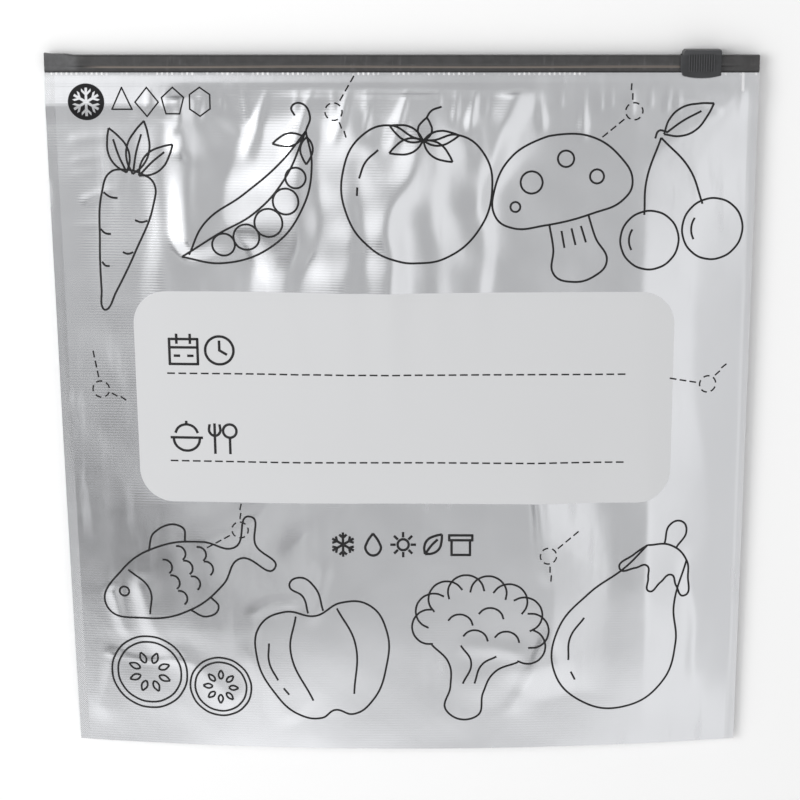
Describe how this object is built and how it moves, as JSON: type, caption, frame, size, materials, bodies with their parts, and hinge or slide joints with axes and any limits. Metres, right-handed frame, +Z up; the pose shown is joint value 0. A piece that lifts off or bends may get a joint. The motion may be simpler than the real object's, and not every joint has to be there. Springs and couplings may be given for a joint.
{
  "type": "foil zipper freezer bag",
  "caption": "Flat reusable foil freezer bag with a dark slider zip along its top edge, lying on its back, slightly puffed and creased.",
  "frame": {"origin": "on the surface that the bag lies on, below the middle of its bounding box", "axes": "+X along the zip towards the slider's end, +Y from the bag's bottom edge to the zip, +Z up out of the printed panel"},
  "size_m": [0.27, 0.282, 0.0144],
  "materials": {
    "foil_film": "satin metallised plastic film, finely ribbed, with a matte white label and black line drawings printed on it",
    "zip_plastic": "satin extruded plastic, dark grey",
    "slider_plastic": "matte moulded plastic, dark grey"
  },
  "bodies": {
    "root": {"pouch": "foil_film", "zip_track": "zip_plastic", "slider": "slider_plastic"}
  },
  "joints": []
}
